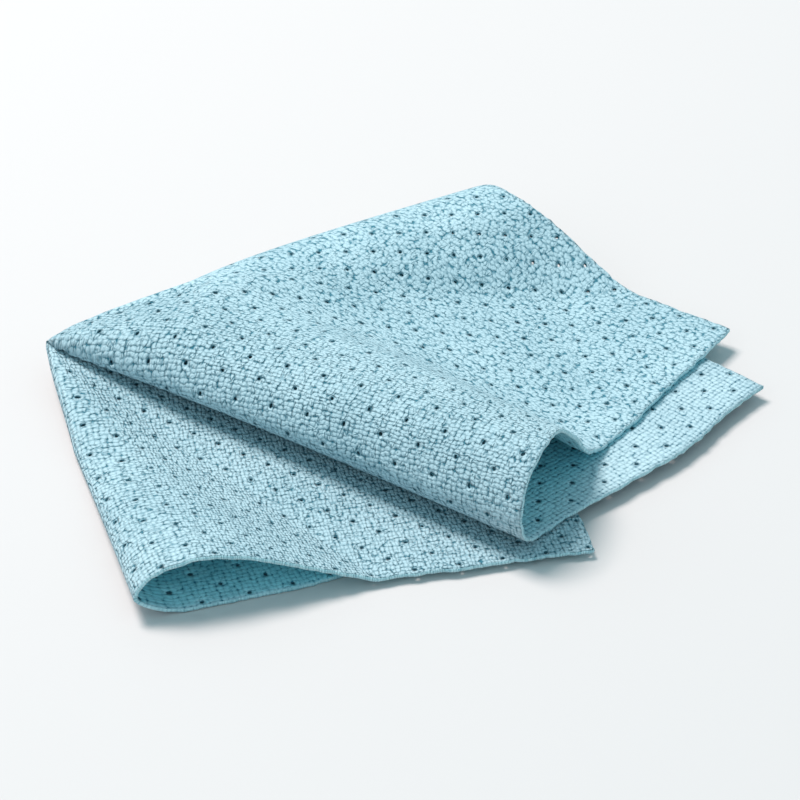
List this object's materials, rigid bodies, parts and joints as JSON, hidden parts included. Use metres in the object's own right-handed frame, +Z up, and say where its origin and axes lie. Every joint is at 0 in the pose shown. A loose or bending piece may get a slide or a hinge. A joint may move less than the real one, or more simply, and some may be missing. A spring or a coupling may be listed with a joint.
{
  "type": "perforated cleaning cloth folded in quarters",
  "caption": "Thin perforated microfibre cleaning cloth, loosely folded in quarters, with an open roll along its upper fold and soft outer loops, lying flat.",
  "frame": {"origin": "centre of the bounding box, at the height of the surface the cloth lies on", "axes": "+X along the longest extent, from the fold point towards the free corners; +Y away from the front loop; +Z up"},
  "size_m": [0.2873, 0.2696, 0.0431],
  "materials": {
    "cloth": "matte coated knit"
  },
  "bodies": {
    "root": {"cloth": "cloth"}
  },
  "joints": []
}
